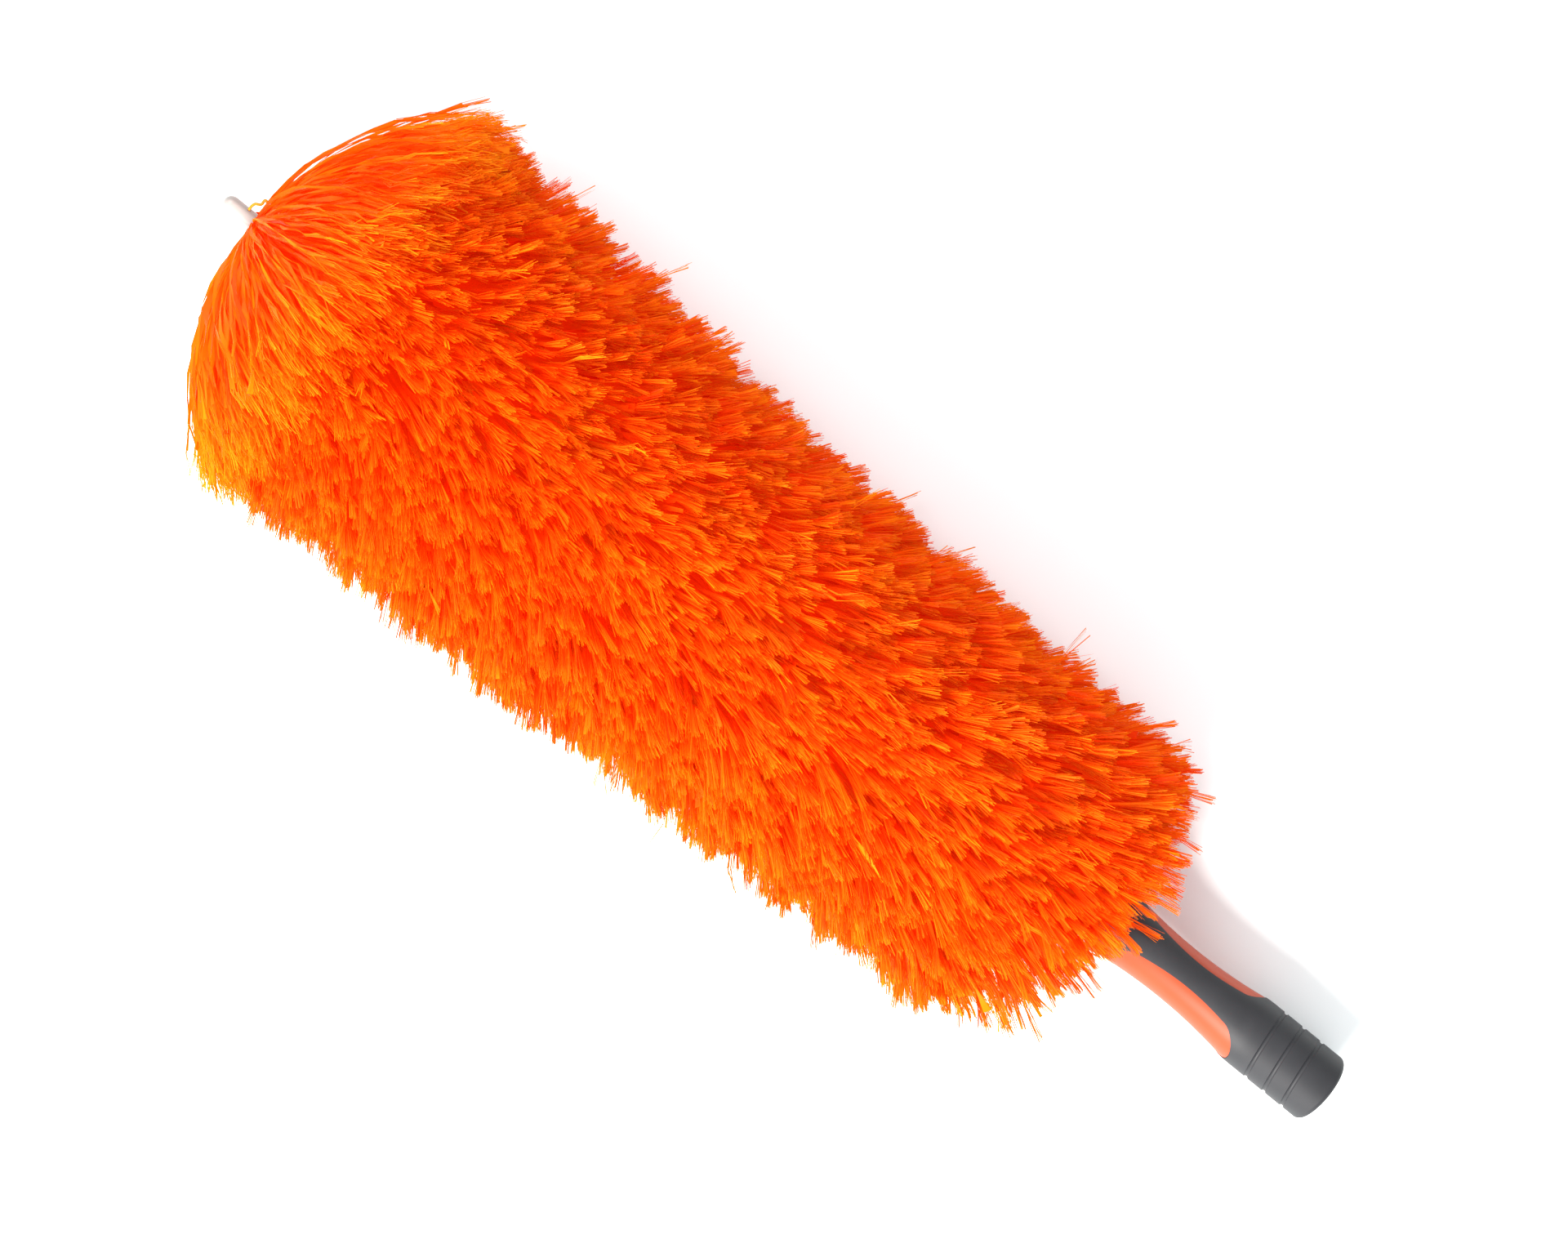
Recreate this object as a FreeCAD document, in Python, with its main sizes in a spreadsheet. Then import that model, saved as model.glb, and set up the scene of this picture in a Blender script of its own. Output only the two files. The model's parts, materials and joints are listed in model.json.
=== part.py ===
"""A flexible feather duster: a two-colour grip with a pole socket, a bendable rod, and a fringe wound on the rod.

Every piece is drawn along the shaft, which is local +X from the butt of the grip (0) to the tip of the rod, and
then placed with the shaft tilted, as the duster lies on a table: on the butt's rim and on the flattened fringe.
"""

import math
import os
import re

import FreeCAD
import Part
import Sketcher

DIMENSIONS = {
    # the whole duster
    "total_length": 695,
    "shaft_tilt": 5,
    "handle_roll": 18,
    # the outside of the grip
    "butt_radius": 18.9,
    "butt_round": 2.6,
    "end_hole": 12.4,
    "flare_from": 45,
    "flare_at": 54,
    "flare_radius": 18.25,
    "flare_curve": 60,
    "waist_curve": 280,
    "front_at": 134.4,
    "shoulder_at": 135.4,
    "shoulder_height": 9.35,
    "shoulder_round": 9,
    "lip_lean": 20,
    "skin": 2,
    "skin_gap": 0.05,
    # the grip's windows and grooves
    "window_butt_at": 63.9,
    "window_butt_half": 14,
    "window_neck_at": 119.8,
    "window_neck_half": 13.2,
    "window_gap": 0.2,
    "window_recess": 0.35,
    "pad_root": 1,
    "groove_first": 12.6,
    "groove_pitch": 11.7,
    "groove_slant": 20,
    "groove_wire": 1.3,
    "groove_depth": 0.8,
    # the inside of the grip
    "socket_radius": 11.15,
    "socket_depth": 60,
    "socket_lead": 0.9,
    "hollow_radius": 8.5,
    "plug_from": 112,
    "plug_gap": 0.03,
    "neck_radius": 9.5,
    "neck_end": 172,
    "neck_bevel": 1.5,
    # the neck screw
    "screw_at": 160,
    "screw_radius": 1.45,
    "screw_point": 0.7,
    "screw_tip_clear": 0.4,
    "screw_gap": 0.05,
    "screw_head_radius": 2.9,
    "screw_head_height": 1.8,
    "screw_sink": 2.2,
    "screw_slot_width": 0.8,
    "screw_slot_depth": 0.9,
    # the rod: a plastic sheath over a soft steel wire
    "rod_radius": 4.35,
    "rod_seat": 120.5,
    "rod_gap": 0.1,
    "wire_radius": 2,
    "wire_gap": 0.1,
    "wire_tip_cover": 14,
    "bend_first": 275,
    "bend_pitch": 135,
    "bend_gap": 0.3,
    # the fringe: a tape wound on the rod, and the soft body of strands that it carries
    "tape_thick": 1.2,
    "tape_width": 14,
    "tape_pitch": 40,
    "tape_from": 234,
    "tape_to": 672,
    "tape_gap": 0.05,
    "tape_bend_clear": 3,
    "strand_length": 118,
    "last_root": 240,
    "pile_back_radius": 91,
    "pile_back_at": 165,
    "pile_front_radius": 108,
    "pile_front_at": 606,
    "pile_nose_at": 677,
    "pile_nose_curve": 99,
    "pile_clear": 0.3,
    "fold_half_angle": 13,
    "fold_clear": 0.2,
    "fold_inner": 8,
    "fold_lift": 0.6,
    # the binding threads
    "thread_radius": 0.5,
    "thread_pitch": 1.05,
    "tip_bind_at": 673,
    "neck_bind_at": 226.5,
}
TIP_BIND_TURNS = 4
NECK_BIND_TURNS = 6
BENDS = 3
GROOVES = 3
STRETCHES = ("base", "lower", "upper", "tip")  # the rod's stretches between bends, from the handle out
FAR = 500  # further than any cut needs
CORE_ROUND = "(shoulder_round - skin)"
CORE_END = f"(shoulder_at + sqrt({CORE_ROUND}^2 - (neck_radius - shoulder_height)^2))"

doc = FreeCAD.newDocument("feather_duster")
sheet = doc.addObject("Spreadsheet::Sheet", "dims")
for line, (alias, size) in enumerate(DIMENSIONS.items(), start=1):
    sheet.set(f"A{line}", alias)
    sheet.set(f"B{line}", str(size))
    sheet.setAlias(f"B{line}", alias)
doc.recompute()

ALIAS = re.compile(r"\b(" + "|".join(sorted(DIMENSIONS, key=len, reverse=True)) + r")\b")
nodes = {}


def bound(text):
    """An expression on the sheet's aliases, as FreeCAD reads it from another object."""
    return ALIAS.sub(r"dims.\1", text)


def value(text):
    """The number that such an expression has now."""
    return float(sheet.evalExpression(text))


def bind(item, **expressions):
    """Binds properties of an object to expressions on the sheet."""
    for name, text in expressions.items():
        item.setExpression(name, bound(text))


# ---------------------------------------------------------------- placing along the tilted shaft

tilt = math.radians(value("shaft_tilt"))
rim_inset = value("butt_radius - butt_round")
butt_height = rim_inset * math.cos(tilt) + value("butt_round") * (1 - math.sin(tilt))
lowest_x = value("butt_round") * (math.cos(tilt) - 1) - rim_inset * math.sin(tilt)
highest_x = value("total_length - rod_radius") * math.cos(tilt) + value("rod_radius")
SHAFT = FreeCAD.Placement(
    FreeCAD.Vector(-(lowest_x + highest_x) / 2, 0, butt_height),
    FreeCAD.Rotation(FreeCAD.Vector(0, 1, 0), -value("shaft_tilt")),
)
ROLL = FreeCAD.Placement(
    FreeCAD.Vector(), FreeCAD.Rotation(FreeCAD.Vector(1, 0, 0), value("handle_roll"))
)
TURN_Z_TO_X = FreeCAD.Rotation(FreeCAD.Vector(0, 1, 0), 90)


def along(distance):
    """A placement whose local Z runs along the shaft, at that distance from the butt."""
    return FreeCAD.Placement(FreeCAD.Vector(distance, 0, 0), TURN_Z_TO_X)


def finish_node(item, name, placement=SHAFT):
    """Names a finished sub-part and sets it in its place in the duster."""
    item.Label = name
    item.Placement = placement.multiply(item.Placement)
    nodes[name] = item
    return item


# ---------------------------------------------------------------- outlines and turned pieces


def arc_between(start, end, radius):
    """An arc of the given radius from start to end. A positive radius turns right, a negative one turns left."""
    chord = end - start
    half = chord.Length / 2
    side = FreeCAD.Vector(chord.y, -chord.x, 0).normalize()
    rise = math.sqrt(max(radius * radius - half * half, 0))
    centre = (start + end) * 0.5 + side * math.copysign(rise, radius)
    circle = Part.Circle(centre, FreeCAD.Vector(0, 0, 1), abs(radius))
    first, last = (end, start) if radius > 0 else (start, end)
    return Part.ArcOfCircle(circle, circle.parameter(first), circle.parameter(last))


def outline(sketch, corners):
    """Fills a sketch with a closed outline. A corner is (x, y) or (x, y, radius), all of them expressions: the side
    that ends at a corner with a radius is an arc, to the right for a plain radius and to the left after a "-".
    """
    places = [FreeCAD.Vector(value(c[0]), value(c[1]), 0) for c in corners]
    ends = []
    for i, corner in enumerate(corners):
        start, end = places[i - 1], places[i]
        if len(corner) == 3:
            radius = value(corner[2])
            side = sketch.addGeometry(arc_between(start, end, radius), False)
            ends.append((side, 2, 1) if radius > 0 else (side, 1, 2))
            size = Sketcher.Constraint("Radius", side, abs(radius))
            index = sketch.addConstraint(size)
            sketch.setExpression(f"Constraints[{index}]", bound(corner[2].lstrip("-")))
        else:
            side = sketch.addGeometry(Part.LineSegment(start, end), False)
            ends.append((side, 1, 2))
    for i, corner in enumerate(corners):
        side, _, last = ends[i]
        follower, first, _ = ends[(i + 1) % len(corners)]
        sketch.addConstraint(Sketcher.Constraint("Coincident", side, last, follower, first))
        for kind, axis, text in (("DistanceX", -2, corner[0]), ("DistanceY", -1, corner[1])):
            if text == "0":
                sketch.addConstraint(Sketcher.Constraint("PointOnObject", side, last, axis))
                continue
            rule = Sketcher.Constraint(kind, -1, 1, side, last, value(text))
            index = sketch.addConstraint(rule)
            sketch.setExpression(f"Constraints[{index}]", bound(text))


def plane_of(body, role):
    return next(p for p in body.Origin.OriginFeatures if p.Role == role)


def turned(name, corners):
    """A body turned about the shaft from an outline of (distance, radius) corners."""
    body = doc.addObject("PartDesign::Body", name + "_body")
    sketch = body.newObject("Sketcher::SketchObject", name + "_outline")
    sketch.AttachmentSupport = [(plane_of(body, "XY_Plane"), "")]
    sketch.MapMode = "FlatFace"
    outline(sketch, corners)
    revolution = body.newObject("PartDesign::Revolution", name + "_turned")
    revolution.Profile = sketch
    revolution.ReferenceAxis = (sketch, ["H_Axis"])
    revolution.Angle = 360
    body.Tip = revolution
    return body


def less(name, base, *tools):
    """A base with every tool cut from it."""
    for n, tool in enumerate(tools):
        cut = doc.addObject("Part::Cut", f"{name}_cut_{n}")
        cut.Base = base
        cut.Tool = tool
        base = cut
    return base


def joined(name, *items):
    fused = doc.addObject("Part::MultiFuse", name + "_joined")
    fused.Shapes = list(items)
    return fused


def shared(name, base, tool):
    common = doc.addObject("Part::Common", name + "_shared")
    common.Base = base
    common.Tool = tool
    return common


# ---------------------------------------------------------------- the grip


def grip_side(inset):
    """The corners of the grip's waisted side, from the flare at the butt to the front, set in by an expression."""
    return [
        ("flare_from", f"butt_radius - {inset}"),
        ("flare_at", f"flare_radius - {inset}", f"flare_curve - {inset}"),
        ("front_at", f"flare_radius - {inset}", f"-(waist_curve + {inset})"),
    ]


def grip_side_back(inset):
    """The same side, from the front to the flare."""
    return [
        ("front_at", f"flare_radius - {inset}"),
        ("flare_at", f"flare_radius - {inset}", f"waist_curve + {inset}"),
        ("flare_from", f"butt_radius - {inset}", f"-(flare_curve - {inset})"),
    ]


def window_prism(name, grow):
    """A bar with the windows' outline that runs right through the grip, from side to side."""
    sketch = doc.addObject("Sketcher::SketchObject", name + "_outline")
    sketch.Placement = FreeCAD.Placement(
        FreeCAD.Vector(), FreeCAD.Rotation(FreeCAD.Vector(1, 0, 0), 90)
    )
    butt_half = f"window_butt_half + {grow}"
    neck_half = f"window_neck_half + {grow}"
    outline(
        sketch,
        [
            (f"window_butt_at - ({butt_half})", "0", butt_half),
            ("window_butt_at", butt_half, butt_half),
            ("window_neck_at", neck_half),
            (f"window_neck_at + {neck_half}", "0", neck_half),
            ("window_neck_at", f"-({neck_half})", neck_half),
            ("window_butt_at", f"-({butt_half})"),
        ],
    )
    prism = doc.addObject("Part::Extrusion", name + "_prism")
    prism.Base = sketch
    prism.DirMode = "Custom"
    prism.Dir = FreeCAD.Vector(0, 1, 0)
    prism.Solid = True
    prism.Symmetric = True
    bind(prism, LengthFwd="4 * butt_radius")
    return prism


def groove_ring(number):
    """The round bar that presses one slanted groove into the grip."""
    slant = math.radians(value("groove_slant"))
    reach = value("butt_radius + groove_wire - groove_depth")
    middle = value("groove_first") + number * value("groove_pitch")
    high = FreeCAD.Vector(math.sin(slant), 0, math.cos(slant))
    centre = FreeCAD.Vector(middle, 0, 0)
    ellipse = Part.Ellipse(
        centre + high * (reach / math.cos(slant)), centre + FreeCAD.Vector(0, reach, 0), centre
    )
    start = ellipse.value(0)
    forward = ellipse.tangent(0)[0]
    section = Part.Wire(Part.Circle(start, forward, value("groove_wire")).toShape())
    ring = doc.addObject("Part::Feature", f"groove_ring_{number}")
    ring.Shape = Part.Wire(ellipse.toShape()).makePipeShell([section], True, True)
    return ring


def screw_hole(name, radius, bottom, top):
    """A round tool that stands across the shaft at the neck screw, from bottom to top in height."""
    hole = doc.addObject("Part::Cylinder", name)
    bind(hole, Radius=radius, Height=f"({top}) - ({bottom})")
    hole.Placement = FreeCAD.Placement(
        FreeCAD.Vector(value("screw_at"), 0, value(bottom)), FreeCAD.Rotation()
    )
    return hole


def make_grip_sleeve():
    """The soft dark sleeve moulded over the core, with two side windows and three slanted grooves."""
    lean = "lip_lean * 1deg"
    inset = "(skin - skin_gap)"
    lip = "(shoulder_round - skin + skin_gap)"
    blank = turned(
        "grip_sleeve",
        [
            ("0", "end_hole"),
            ("0", "butt_radius - butt_round"),
            ("butt_round", "butt_radius", "butt_round"),
            *grip_side("0"),
            (
                f"shoulder_at + shoulder_round * cos({lean})",
                f"shoulder_height + shoulder_round * sin({lean})",
                "shoulder_round",
            ),
            (f"shoulder_at + {lip} * cos({lean})", f"shoulder_height + {lip} * sin({lean})"),
            ("front_at", f"flare_radius - {inset}", f"-{lip}"),
            *grip_side_back(inset)[1:],
            ("skin", f"butt_radius - {inset}"),
            ("skin", "end_hole"),
        ],
    )
    grooves = [groove_ring(n) for n in range(GROOVES)]
    sleeve = less("grip_sleeve", blank, window_prism("sleeve_window", "window_gap"), *grooves)
    finish_node(sleeve, "grip_sleeve", SHAFT.multiply(ROLL))


def make_grip_core():
    """The hard core: a tube with the pole socket, open to the neck, and the pads that fill the windows."""
    blank = turned(
        "grip_core",
        [
            ("skin + skin_gap", "socket_radius + socket_lead"),
            ("skin + skin_gap", "butt_radius - skin"),
            *grip_side("skin"),
            (CORE_END, "neck_radius", CORE_ROUND),
            (CORE_END, "hollow_radius"),
            ("socket_depth", "hollow_radius"),
            ("socket_depth", "socket_radius"),
            ("skin + skin_gap + socket_lead", "socket_radius"),
        ],
    )
    pad_ring = turned(
        "window_pad", [*grip_side("window_recess"), *grip_side_back("(skin + pad_root)")]
    )
    pads = shared("window_pad", pad_ring, window_prism("pad_window", "0"))
    finish_node(joined("grip_core", blank, pads), "grip_core", SHAFT.multiply(ROLL))


def make_neck_plug():
    """The plug that closes the core's neck end and holds the rod in its blind bore."""
    bore = "(rod_radius + rod_gap)"
    blank = turned(
        "neck_plug",
        [
            ("plug_from", "0"),
            ("plug_from", "hollow_radius - plug_gap"),
            (f"{CORE_END} + plug_gap", "hollow_radius - plug_gap"),
            (f"{CORE_END} + plug_gap", "neck_radius"),
            ("neck_end - neck_bevel", "neck_radius"),
            ("neck_end", "neck_radius - neck_bevel"),
            ("neck_end", bore),
            ("rod_seat - rod_gap", bore),
            ("rod_seat - rod_gap", "0"),
        ],
    )
    head_seat = screw_hole(
        "screw_head_seat", "screw_head_radius + screw_gap", "neck_radius - screw_sink", "2 * neck_radius"
    )
    shank_hole = screw_hole("plug_screw_hole", "screw_radius + screw_gap", "0", "2 * neck_radius")
    plug = less("neck_plug", blank, head_seat, shank_hole)
    finish_node(plug, "neck_plug", SHAFT.multiply(ROLL))


def make_neck_screw():
    """The small slotted screw that holds the rod in the neck boss, its point in the sheath."""
    seat = "(neck_radius - screw_sink + screw_gap)"
    point = "(wire_radius + screw_tip_clear)"
    blank = turned(
        "neck_screw",
        [
            (point, "0"),
            (f"{point} + screw_point", "screw_radius"),
            (seat, "screw_radius"),
            (seat, "screw_head_radius"),
            (f"{seat} + screw_head_height / 2", "screw_head_radius"),
            (
                f"{seat} + screw_head_height",
                "screw_head_radius - screw_head_height / 2",
                "screw_head_height / 2",
            ),
            (f"{seat} + screw_head_height", "0"),
        ],
    )
    slot = doc.addObject("Part::Box", "screw_slot")
    bind(
        slot,
        Length="2 * screw_slot_depth",
        Width="4 * screw_head_radius",
        Height="screw_slot_width",
    )
    slot.Placement.Base = FreeCAD.Vector(
        value(f"{seat} + screw_head_height - screw_slot_depth"),
        -value("2 * screw_head_radius"),
        -value("screw_slot_width / 2"),
    )
    screw = less("neck_screw", blank, slot)
    upright = FreeCAD.Placement(
        FreeCAD.Vector(value("screw_at"), 0, 0), FreeCAD.Rotation(FreeCAD.Vector(0, 1, 0), -90)
    )
    finish_node(screw, "neck_screw", SHAFT.multiply(ROLL).multiply(upright))


# ---------------------------------------------------------------- the bendable rod


def bend_at(number):
    """Where the rod's bend of that number lies, counted from 0 at the handle, as an expression."""
    return f"(bend_first + {number} * bend_pitch)"


def make_rod_section(number):
    """One stretch of the rod between bends: a length of sheath, and the soft wire in it. Its tip end is a ball about
    the bend, and its other end a cup that clears the next stretch's ball."""
    stretch = STRETCHES[number]
    bore = "(wire_radius + wire_gap)"
    cup = "(rod_radius + bend_gap)"
    if number == 0:
        start = [("rod_seat", bore), ("rod_seat", "rod_radius")]
        wire_start = "rod_seat"
    else:
        last = bend_at(number - 1)
        start = [
            (f"{last} + sqrt({cup}^2 - {bore}^2)", bore),
            (f"{last} + sqrt({cup}^2 - rod_radius^2)", "rod_radius", f"-{cup}"),
        ]
        wire_start = f"{last} + {cup} + bend_gap"
    if number == BENDS:
        wire_end = "(total_length - wire_tip_cover)"
        end = [
            ("total_length - rod_radius", "rod_radius"),
            ("total_length", "0", "rod_radius"),
            (wire_end, "0"),
            (wire_end, bore),
        ]
        wire_tip = [(f"{wire_end} - wire_gap", "wire_radius"), (f"{wire_end} - wire_gap", "0")]
    else:
        bend = bend_at(number)
        end = [
            (bend, "rod_radius"),
            (f"{bend} + sqrt(rod_radius^2 - {bore}^2)", bore, "rod_radius"),
        ]
        wire_tip = [(bend, "wire_radius"), (f"{bend} + wire_radius", "0", "wire_radius")]
    sheath = turned(f"rod_sheath_{stretch}", start + end)
    wire = turned(f"rod_wire_{stretch}", [(wire_start, "0"), (wire_start, "wire_radius"), *wire_tip])
    if number == 0:
        hole = screw_hole("sheath_screw_hole", "screw_radius + screw_gap", bore, "2 * neck_radius")
        hole.Placement = ROLL.multiply(hole.Placement)
        sheath = less("rod_sheath_base", sheath, hole)
    finish_node(sheath, f"rod_sheath_{stretch}")
    finish_node(wire, f"rod_wire_{stretch}")


# ---------------------------------------------------------------- the fringe


def make_tape(number):
    """The woven tape of the fringe on one stretch of the rod, wound with a gap between its turns."""
    stretch = STRETCHES[number]
    clear = value("tape_bend_clear")
    start = value("tape_from") if number == 0 else value(bend_at(number - 1)) + clear
    end = value("tape_to") if number == BENDS else value(bend_at(number)) - clear
    inner = value("rod_radius + tape_gap")
    outer = value("rod_radius + tape_gap + tape_thick")
    half = value("tape_width / 2")
    corners = [(inner, -half), (outer, -half), (outer, half), (inner, half)]
    section = Part.makePolygon([FreeCAD.Vector(x, 0, z) for x, z in corners + corners[:1]])
    spine = Part.makeHelix(value("tape_pitch"), end - start - 2 * half, inner)
    winding = doc.addObject("Part::Feature", f"tape_winding_{stretch}")
    winding.Shape = Part.Wire(spine.Edges).makePipeShell([section], True, True)
    winding.Placement = along(start + half)
    finish_node(winding, f"fringe_tape_{stretch}")


def above_table(name, item, lift):
    """The item with everything below the table's top, or a lift above it, cut away."""
    block = doc.addObject("Part::Box", name + "_below_table")
    bind(block, Length=f"2 * {FAR}", Width=f"2 * {FAR}", Height=f"{FAR}")
    level = FreeCAD.Placement(
        FreeCAD.Vector(-FAR, -FAR, value(lift) - FAR), FreeCAD.Rotation()
    )
    block.Placement = SHAFT.inverse().multiply(level)
    return less(name, item, block)


def pile_radius(distance):
    """The outer radius of the strands at a distance from the butt, as an expression."""
    slope = "(pile_front_radius - pile_back_radius) / (pile_front_at - pile_back_at)"
    return f"(pile_back_radius + ({distance} - pile_back_at) * {slope})"


def make_pile(number):
    """The strands of one stretch together, as a plain soft drum that rests on the table. Its ends lean away from
    the bends, so that it clears the next drum when the rod is bent."""
    stretch = STRETCHES[number]
    lean = "tan(fold_half_angle * 1deg)"
    inner = "(rod_radius + tape_gap + tape_thick + pile_clear)"
    if number == 0:
        tuck = "(flare_radius + pile_clear)"
        neck = "(neck_radius + pile_clear)"
        shoulder = "shoulder_at + shoulder_round + pile_clear"
        start = [
            ("neck_end + pile_clear", inner),
            ("neck_end + pile_clear", neck),
            (shoulder, neck),
            (shoulder, tuck),
            (f"last_root - sqrt(strand_length^2 - {tuck}^2)", tuck),
            (
                "last_root - sqrt(strand_length^2 - pile_back_radius^2)",
                "pile_back_radius",
                "strand_length",
            ),
        ]
    else:
        last = bend_at(number - 1)
        rim = pile_radius(last)
        start = [
            (f"{last} + fold_clear + {inner} * {lean}", inner),
            (f"{last} + fold_clear + {rim} * {lean}", rim),
        ]
    if number == BENDS:
        end = [
            ("pile_front_at", "pile_front_radius"),
            ("pile_nose_at", inner, "pile_nose_curve"),
        ]
    else:
        bend = bend_at(number)
        rim = pile_radius(bend)
        end = [
            (f"{bend} - fold_clear - {rim} * {lean}", rim),
            (f"{bend} - fold_clear - {inner} * {lean}", inner),
        ]
    drum = turned(f"fringe_{stretch}", start + end)
    finish_node(above_table(f"fringe_{stretch}", drum, "0"), f"fringe_{stretch}")


def make_fold(number):
    """The strands that lie over a bend and give when it is bent, as a soft wedge-shaped ring between two drums."""
    name = f"fringe_fold_{number + 1}"
    bend = bend_at(number)
    rim = pile_radius(bend)
    inner_half = "(fold_inner * tan(fold_half_angle * 1deg) - fold_clear)"
    rim_half = f"({rim} * tan(fold_half_angle * 1deg) - fold_clear)"
    ring = turned(
        name,
        [
            (f"{bend} - {inner_half}", "fold_inner"),
            (f"{bend} - {rim_half}", rim),
            (f"{bend} + {rim_half}", rim),
            (f"{bend} + {inner_half}", "fold_inner"),
        ],
    )
    finish_node(above_table(name, ring, "fold_lift"), name)


def make_binding(name, start, turns):
    """A binding thread wound tightly round the rod, turn beside turn."""
    winding = doc.addObject("Part::Compound", name + "_winding")
    loops = []
    for n in range(turns):
        loop = doc.addObject("Part::Torus", f"{name}_turn_{n}")
        bind(loop, Radius1="rod_radius + tape_gap + thread_radius", Radius2="thread_radius")
        loop.Placement = along(value(start) + n * value("thread_pitch"))
        loops.append(loop)
    winding.Links = loops
    finish_node(winding, name)


# ---------------------------------------------------------------- build, check and write

make_grip_sleeve()
make_grip_core()
make_neck_plug()
make_neck_screw()
for number in range(BENDS + 1):
    make_rod_section(number)
    make_tape(number)
    make_pile(number)
for number in range(BENDS):
    make_fold(number)
make_binding("tip_binding", "tip_bind_at", TIP_BIND_TURNS)
make_binding("neck_binding", "neck_bind_at", NECK_BIND_TURNS)
doc.recompute()

for item in doc.Objects:
    if "Invalid" in item.State or "Error" in item.State:
        raise RuntimeError(f"{item.Name} failed: {item.State}")
for name, item in nodes.items():
    shape = item.Shape
    if shape.isNull() or not shape.isValid() or not shape.Solids or shape.Volume <= 0:
        raise RuntimeError(f"{name} has no valid solid")

os.makedirs("parts", exist_ok=True)
for name, item in sorted(nodes.items()):
    item.Shape.exportStep(f"parts/{name}.step")
    box = item.Shape.optimalBoundingBox(False, False)
    print(
        f"{name}: {len(item.Shape.Solids)} solid, {item.Shape.Volume:.1f} mm3, "
        f"x {box.XMin:.1f} {box.XMax:.1f}, y {box.YMin:.1f} {box.YMax:.1f}, z {box.ZMin:.1f} {box.ZMax:.1f}"
    )
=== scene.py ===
"""The looks of a flexible feather duster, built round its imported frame: the fringe of soft frayed strands,
the finishes of the two-colour grip and the rod, and a plain studio.

Distances along the shaft are measured from the butt of the grip, in metres. The shaft's own axes are its
length towards the tip, the side (row +Y) and up.
"""

import json
import math

import bmesh
import bpy
from bpy.props import FloatProperty, FloatVectorProperty, IntProperty, PointerProperty
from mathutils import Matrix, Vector
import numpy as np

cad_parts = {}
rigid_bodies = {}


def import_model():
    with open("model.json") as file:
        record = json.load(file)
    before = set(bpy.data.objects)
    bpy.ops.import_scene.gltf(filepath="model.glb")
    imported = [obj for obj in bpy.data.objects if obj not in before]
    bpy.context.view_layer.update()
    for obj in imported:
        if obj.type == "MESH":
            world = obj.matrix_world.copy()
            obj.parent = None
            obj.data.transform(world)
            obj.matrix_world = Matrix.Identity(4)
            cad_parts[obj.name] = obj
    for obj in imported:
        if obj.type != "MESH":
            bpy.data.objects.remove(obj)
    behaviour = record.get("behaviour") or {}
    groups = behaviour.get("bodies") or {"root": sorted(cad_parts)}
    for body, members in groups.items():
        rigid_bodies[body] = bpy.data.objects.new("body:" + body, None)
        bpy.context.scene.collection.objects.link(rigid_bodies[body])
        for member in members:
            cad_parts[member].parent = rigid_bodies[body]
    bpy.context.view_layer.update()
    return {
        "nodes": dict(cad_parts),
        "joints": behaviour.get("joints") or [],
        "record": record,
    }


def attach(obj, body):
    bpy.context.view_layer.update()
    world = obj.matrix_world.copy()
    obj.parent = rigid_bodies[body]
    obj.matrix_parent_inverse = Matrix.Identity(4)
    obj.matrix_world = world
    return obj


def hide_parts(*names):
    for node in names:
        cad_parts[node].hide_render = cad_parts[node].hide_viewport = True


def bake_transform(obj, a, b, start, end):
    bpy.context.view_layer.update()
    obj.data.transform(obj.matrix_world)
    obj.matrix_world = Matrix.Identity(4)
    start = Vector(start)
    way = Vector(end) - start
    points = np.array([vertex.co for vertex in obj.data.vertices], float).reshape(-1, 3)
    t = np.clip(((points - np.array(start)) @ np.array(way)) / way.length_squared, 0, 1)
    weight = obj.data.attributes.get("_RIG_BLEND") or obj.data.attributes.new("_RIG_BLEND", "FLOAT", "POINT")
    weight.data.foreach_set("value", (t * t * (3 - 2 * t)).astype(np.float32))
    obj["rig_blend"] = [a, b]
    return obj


bl_info = {
    "name": "Feather Duster",
    "version": (1, 0, 0),
    "blender": (4, 5, 0),
    "location": "3D View > Sidebar > Duster",
    "description": "Gives a flexible feather duster its fringe, its finishes and a studio",
    "category": "Object",
}

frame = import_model()
NODES = frame["nodes"]
MM = 0.001

# ---------------------------------------------------------------- the shaft

SOCKET = next(m for m in frame["record"]["mounts"] if m["name"] == "pole_socket")
SHAFT = -Vector(SOCKET["axis"])
UP = Vector((-SHAFT.z, 0, SHAFT.x))


def shaft_span(node):
    """The lowest and highest distance of a node's points along the shaft, from the socket's point."""
    places = [SHAFT.dot(v.co - Vector(SOCKET["pos_m"])) for v in NODES[node].data.vertices]
    return min(places), max(places)


BUTT = Vector(SOCKET["pos_m"]) + SHAFT * shaft_span("grip_sleeve")[0]


def from_butt(point):
    """How far along the shaft a point lies, from the butt."""
    return SHAFT.dot(Vector(point) - BUTT)


def on_shaft(distance):
    return BUTT + SHAFT * distance


def node_span(node):
    """The lowest and highest distance of a node's points from the butt."""
    shift = SHAFT.dot(Vector(SOCKET["pos_m"]) - BUTT)
    low, high = shaft_span(node)
    return low + shift, high + shift


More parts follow.
